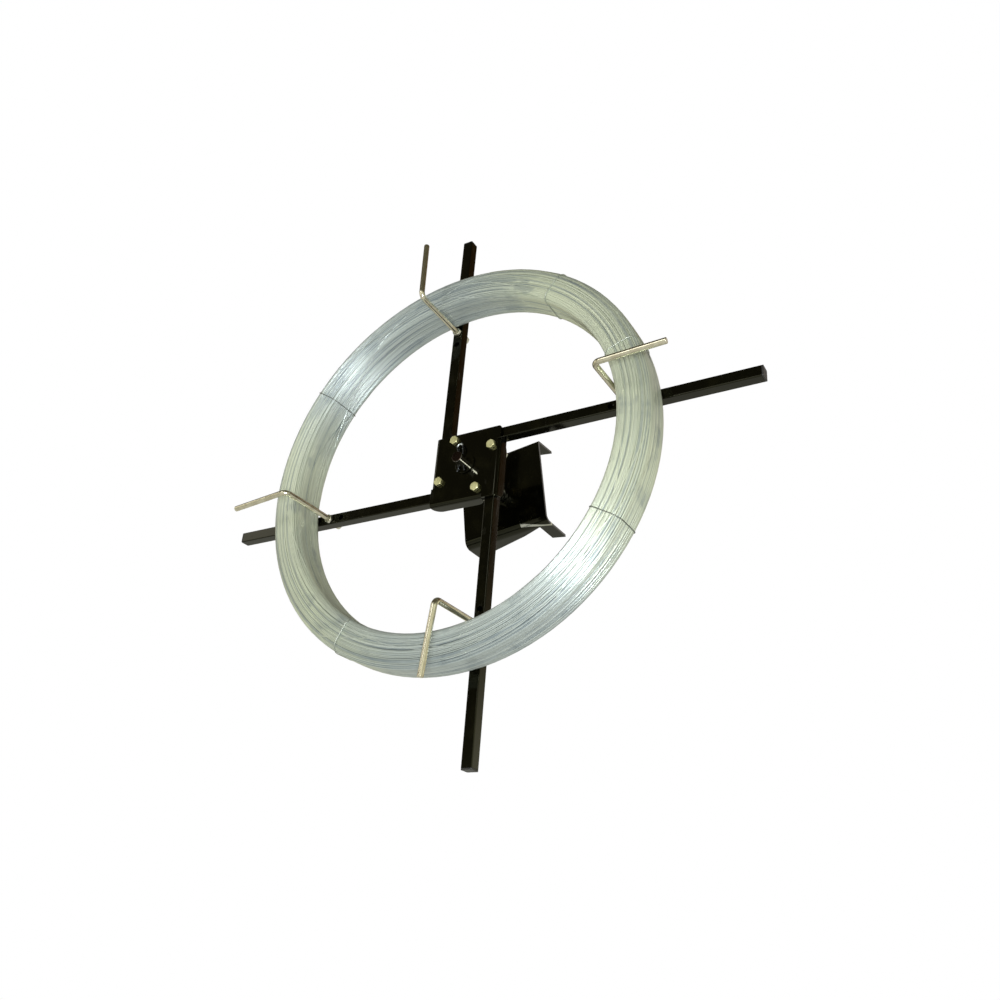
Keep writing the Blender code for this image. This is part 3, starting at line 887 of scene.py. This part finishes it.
def lap_point(share, inset):
    """A point on the coil's rounded section, a share of the way round it: (radius, depth).

    The way starts on the outside, at the rear corner's foot, and runs forwards.
    """
    half_u = (coil_outer - coil_inner) / 2 - inset
    half_v = (coil_back - coil_front) / 2 - inset
    outer = coil_outer_corner - inset
    inner = coil_inner_corner - min(inset, coil_inner_corner / 2)
    corners = ((half_u - outer, outer - half_v, outer), (inner - half_u, inner - half_v, inner),
               (inner - half_u, half_v - inner, inner), (half_u - outer, half_v - outer, outer))
    straights = (2 * (half_v - outer), 2 * half_u - outer - inner, 2 * (half_v - inner),
                 2 * half_u - outer - inner)
    left = share % 1.0 * (sum(straights) + (outer + inner) * math.pi)
    angle = 0.0
    for (u, v, radius), straight in zip(corners, straights):
        ahead = max(straight - left, 0.0)
        left = max(left - straight, 0.0)
        bend = min(left / radius, math.pi / 2)
        if ahead or bend < math.pi / 2:
            break
        left -= radius * bend
        angle -= math.pi / 2
    u += radius * math.cos(angle - bend) - ahead * math.sin(angle)
    v += radius * math.sin(angle - bend) + ahead * math.cos(angle)
    return (coil_inner + coil_outer) / 2 + u, (coil_front + coil_back) / 2 + v


def on_coil(angle, share, inset):
    radius, depth = lap_point(share, inset)
    return (centre_x + radius * math.cos(angle), depth, centre_z + radius * math.sin(angle))


def drift(chance, waves, size):
    """A slow, repeatable wander along a turn: a sum of sines with their own phases."""
    parts = [(k, chance.uniform(0, 2 * math.pi), chance.gauss(0, 1) / k ** 0.5) for k in waves]
    scale = size / math.sqrt(sum(part[2] ** 2 for part in parts) + 1e-9)
    return lambda angle: scale * sum(a * math.sin(k * angle + phase) for k, phase, a in parts)


def turns(name, count, seed, inset, wander, sink, steps=112, roundness=1, radius=wire_radius):
    """Turns of wire side by side round the coil's section, each with its own wander."""
    chance = random.Random(seed)
    curve = wire_curve(name, radius, roundness)
    shared = drift(chance, (1, 2, 3), wander * 1.6 / count)
    for i in range(count):
        own = drift(chance, (1, 2, 3, 5), wander / count)
        depth = drift(chance, (1, 2, 3, 4, 7), sink)
        path = curve.splines.new("POLY")
        path.points.add(steps - 1)
        for j, knot in enumerate(path.points):
            angle = 2 * math.pi * j / steps
            share = (i + 0.5) / count + own(angle) + shared(angle + 2 * math.pi * i / count)
            dip = inset + abs(depth(angle))
            knot.co = (*on_coil(angle, share, dip), 1)
        path.use_cyclic_u = True
    item = meshed(curve)
    ops.object.shade_smooth()
    return item


def coil_heart(inset, around=96, across=40):
    """The closed ring under the turns, with the coil's section."""
    section = [lap_point(i / across, inset) for i in range(across)]
    shape = bmesh.new()
    rows = []
    for k in range(around):
        angle = 2 * math.pi * k / around
        rows.append([shape.verts.new((centre_x + r * math.cos(angle), d, centre_z + r * math.sin(angle)))
                     for r, d in section])
    for row, after in zip(rows, rows[1:] + rows[:1]):
        for i in range(across):
            j = (i + 1) % across
            shape.faces.new((row[i], row[j], after[j], after[i]))
    bmesh.ops.recalc_face_normals(shape, faces=shape.faces)
    mesh = bpy.data.meshes.new("coil_heart")
    shape.to_mesh(mesh)
    shape.free()
    item = bpy.data.objects.new("coil_heart", mesh)
    bpy.context.collection.objects.link(item)
    return item


outer_turns = turns("coil_outer_turns", 104, 11, inset=outer_inset, wander=0.26, sink=0.0003)
dress(outer_turns, wire, "reel", "galvanised_wire", "wire_coil_winding")
loose_turns = turns("coil_loose_turns", 7, 5, inset=loose_inset, wander=0.5, sink=0.0002)
dress(loose_turns, wire, "reel", "galvanised_wire", "wire_coil_winding")
lower_turns = turns("coil_lower_turns", 96, 23, inset=lower_inset, wander=0.2, sink=0.0002, steps=96,
                    roundness=0, radius=0.0013)
dress(lower_turns, wire, "reel", "galvanised_wire", "wire_coil_core")
dress(coil_heart(heart_inset), heart_wire, "reel", "galvanised_wire", "wire_coil_core")

tie_places = {"upper_left": (147.0, dark_tie), "upper_right": (55.5, pale_tie), "right": (21.0, pale_tie),
              "lower_right": (-29.0, dark_tie), "lower_left": (-118.0, pale_tie)}
for name, (degrees, material) in tie_places.items():
    angle = math.radians(degrees - reel_turn)
    loop = [on_coil(angle, i / tie_knots, tie_inset) for i in range(tie_knots)]
    tie = bent_wire("tie_" + name, loop, tie_radius, roundness=2, cyclic=True)
    dress(tie, material, "reel", "galvanised_wire", "coil_tie_" + name)

# Floor, background and light

floor_level = -1.45
deselect()
ops.mesh.primitive_plane_add(size=400, location=(0, 0, floor_level))
floor = bpy.context.object
floor.name = "floor"
floor_finish = Finish("floor_white", Base_Color=(0.92, 0.92, 0.99, 1), Roughness=0.9)
floor.data.materials.append(floor_finish.material)

world = bpy.data.worlds.new("studio")
bpy.context.scene.world = world
world.use_nodes = True
studio = Nodes(world.node_tree)


def glow(colour, strength):
    return studio.node("ShaderNodeBackground", Color=(*colour, 1), Strength=strength)


def either(share, first, second):
    return studio.node("ShaderNodeMixShader", None, share, first, second)


# What matt surfaces receive from all sides, and what glossy ones mirror: a pale floor below, a
# dim ceiling above and a dim brown wall behind. The camera itself sees plain white.
ambient = Value(studio, studio.nodes["Background"].outputs[0])
ambient.socket.node.inputs["Color"].default_value = (1.0, 1.0, 0.80, 1)
ambient.socket.node.inputs["Strength"].default_value = 0.60
backdrop = glow((1, 1, 1), 1.0)
ceiling = glow((1.0, 0.90, 0.56), 0.10)
lit_floor = glow((1.0, 1.0, 0.76), 1.8)
rear_wall = glow((1.0, 0.50, 0.13), 0.12)
direction = studio.node("ShaderNodeTexCoord", out="Generated")
rearwards, height = studio.parts(direction)[1:]
overhead = either(rearwards.above(0.40, 0.25), ceiling, rear_wall)
mirrored = either(height.below(0.10, 0.25), overhead, lit_floor)
rays = {ray.socket.name: ray for ray in studio.all_of(studio.node("ShaderNodeLightPath"))}
received = either(rays["Is Glossy Ray"], ambient, mirrored)
seen = rays["Is Camera Ray"].maths("MAXIMUM", rays["Is Transmission Ray"])
studio.feed(studio.nodes["World Output"].inputs["Surface"], either(seen, received, backdrop))


def lamp(name, place, target, size, power, colour=(1, 1, 1), spread=180):
    """A square softbox that faces a target and doesn't show itself."""
    light = bpy.data.lights.new(name, "AREA")
    light.shape = "SQUARE"
    light.size = size
    light.energy = power
    light.color = colour
    light.spread = math.radians(spread)
    item = bpy.data.objects.new(name, light)
    item.location = place
    item.rotation_euler = (Vector(target) - Vector(place)).to_track_quat("-Z", "Y").to_euler()
    item.visible_camera = False
    bpy.context.collection.objects.link(item)


lamp("key", (0.80, -1.60, -1.00), (0, -0.1, 0), size=0.35, power=12.6, colour=(0.95, 0.98, 1.0), spread=100)
lamp("front", (-0.50, -3.25, 1.10), (0, -0.1, 0), size=1.2, power=14)
lamp("fill", (-2.6, -1.6, 1.4), (0, 0, 0), size=1.6, power=12, colour=(1.0, 0.96, 0.88))
lamp("rear", (1.0, 2.6, 1.6), (0, 0, 0), size=1.6, power=6)
